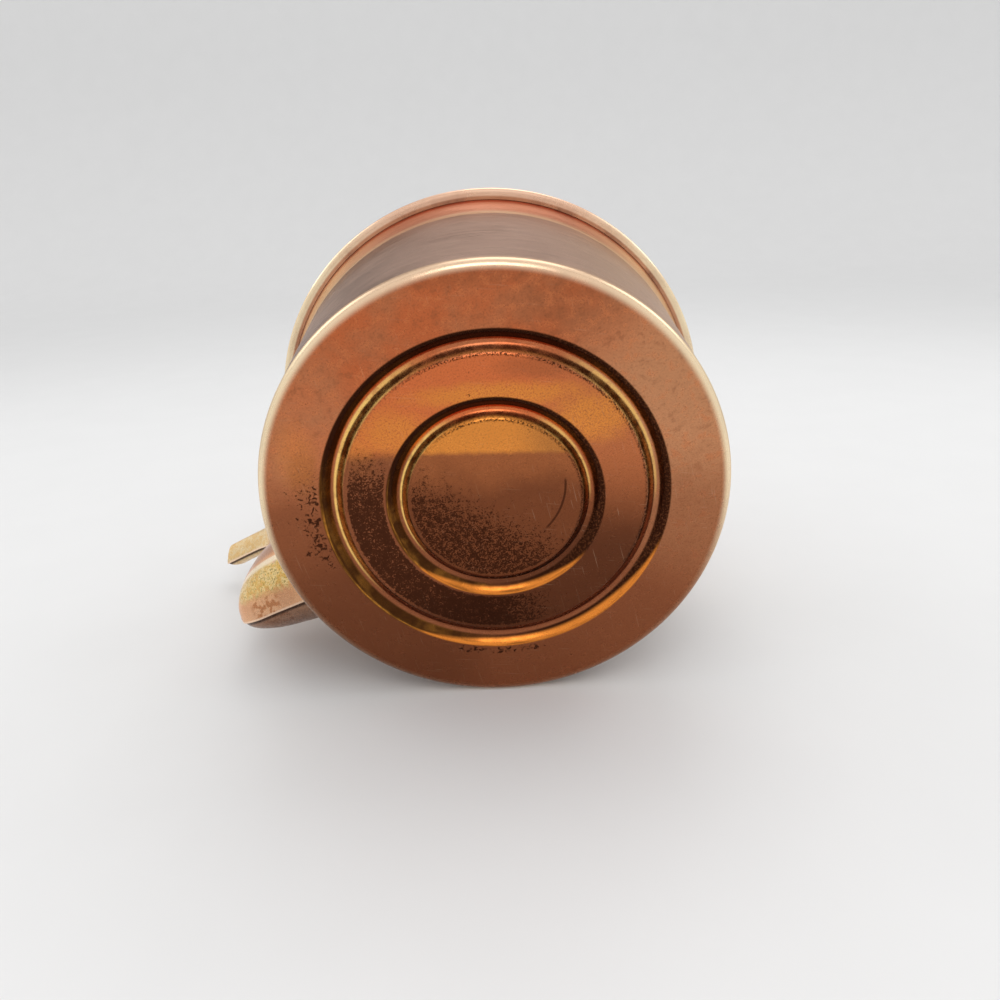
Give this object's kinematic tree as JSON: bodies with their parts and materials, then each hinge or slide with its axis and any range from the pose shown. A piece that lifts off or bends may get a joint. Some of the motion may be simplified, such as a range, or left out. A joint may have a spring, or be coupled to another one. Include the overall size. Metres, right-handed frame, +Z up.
{
  "type": "tea kettle",
  "caption": "Copper stove-top tea kettle with a grooved flat base, a seamed goose-neck spout, a lift-off lid with a turned knob and a swinging bail handle with a turning grip.",
  "frame": {"origin": "Centre of the flat base, on the plane that the kettle stands on", "axes": "+Z up along the kettle's axis, the spout points along -X, and the bail's hinge axis lies along X"},
  "size_m": [0.273, 0.2, 0.2428],
  "materials": {
    "copper": "worn polished copper with heat patina and brown stains",
    "brass": "aged satin brass",
    "wood": "dark oiled turned hardwood"
  },
  "bodies": {
    "kettle": {"pan": "copper", "dome": "copper", "neck_ring": "copper", "spout_left_half": "copper", "spout_right_half": "copper", "ear_front": "brass", "ear_back": "brass", "pivot_pin_front": "brass", "pivot_pin_back": "brass", "rivet_front_left": "copper", "rivet_front_right": "copper", "rivet_back_left": "copper", "rivet_back_right": "copper"},
    "bail": {"bail_strap_front": "brass", "bail_strap_back": "brass", "grip_rod": "brass"},
    "grip": {"grip": "wood", "grip_ferrule_front": "brass", "grip_ferrule_back": "brass"},
    "lid": {"lid_dome": "copper", "lid_ring": "copper", "knob_plate": "brass", "knob": "wood", "knob_screw": "brass"}
  },
  "joints": [
    {"name": "bail_hinge", "type": "hinge", "parent": "kettle", "child": "bail", "pos_m": [0, 0, 0.14825], "axis": [1, 0, 0], "range_deg": [-94, 94]},
    {"name": "grip_spin", "type": "hinge", "parent": "bail", "child": "grip", "pos_m": [0, 0, 0.23149], "axis": [1, 0, 0], "continuous": true},
    {"name": "lid_lift", "type": "slide", "parent": "kettle", "child": "lid", "axis": [0, 0, 1], "range_m": [0, 0.027]}
  ]
}
